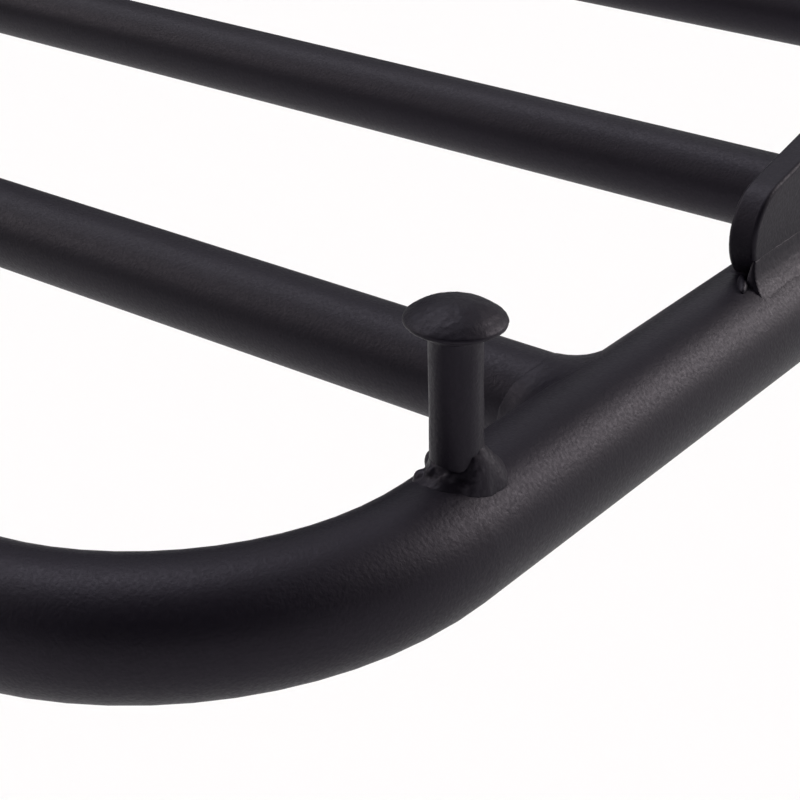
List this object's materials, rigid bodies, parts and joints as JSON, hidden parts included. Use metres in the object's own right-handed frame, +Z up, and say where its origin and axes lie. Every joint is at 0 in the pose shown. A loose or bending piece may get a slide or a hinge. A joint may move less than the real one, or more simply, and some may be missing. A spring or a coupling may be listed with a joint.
{
  "type": "folding luggage rack",
  "caption": "Black tubular luggage rack whose U-shaped deck with crossbars and mushroom strap studs folds up against a bolted hoop frame.",
  "frame": {"origin": "centre of the four bolt holes, on the plane of the panel that the feet bolt to", "axes": "+Z up, +Y square into the panel, X across; the deck reaches out along -Y"},
  "size_m": [0.2967, 0.364, 0.315],
  "materials": {
    "black_coat": "satin black powder coat with a fine texture",
    "rubber": "matt moulded rubber",
    "black_plastic": "matt moulded plastic",
    "zinc_steel": "bright zinc plating",
    "bronze": "plain sintered bronze",
    "nylon": "natural nylon"
  },
  "bodies": {
    "frame": {"buffer_screws": "zinc_steel", "foot_lower_left": "black_coat", "foot_lower_right": "black_coat", "foot_pads": "rubber", "foot_upper_left": "black_coat", "foot_upper_right": "black_coat", "frame_cross_tube_lower": "black_coat", "frame_cross_tube_upper": "black_coat", "frame_end_caps": "black_plastic", "frame_hoop": "black_coat", "frame_weld_beads": "black_coat", "hinge_bosses": "black_coat", "hinge_tube": "black_coat", "latch_plate": "black_coat", "pivot_bolt_left": "zinc_steel", "pivot_bolt_right": "zinc_steel", "rest_buffers_lower": "rubber", "rest_buffers_upper": "rubber", "thrust_washers": "nylon"},
    "deck": {"cheek_bush_left": "bronze", "cheek_bush_right": "bronze", "cheek_weld_beads": "black_coat", "crossbar_weld_beads": "black_coat", "deck_crossbar_1": "black_coat", "deck_crossbar_2": "black_coat", "deck_crossbar_3": "black_coat", "deck_end_bar": "black_coat", "deck_end_caps": "black_plastic", "deck_hoop": "black_coat", "hinge_cheek_left": "black_coat", "hinge_cheek_right": "black_coat", "lock_housing": "black_coat", "lock_spring": "zinc_steel", "lock_weld_bead": "black_coat", "strap_stud_inner_left": "black_coat", "strap_stud_inner_right": "black_coat", "strap_stud_tail_left": "black_coat", "strap_stud_tail_right": "black_coat", "stud_weld_beads": "black_coat"},
    "lock": {"lock_knob": "black_plastic", "lock_pin": "zinc_steel"}
  },
  "joints": [
    {"name": "deck_fold", "type": "hinge", "parent": "frame", "child": "deck", "pos_m": [0, -0.047, -0.052], "axis": [-1, 0, 0], "range_deg": [0, 105]},
    {"name": "lock_plunger", "type": "slide", "parent": "deck", "child": "lock", "axis": [-1, 0, 0], "range_m": [0, 0.0056]}
  ]
}
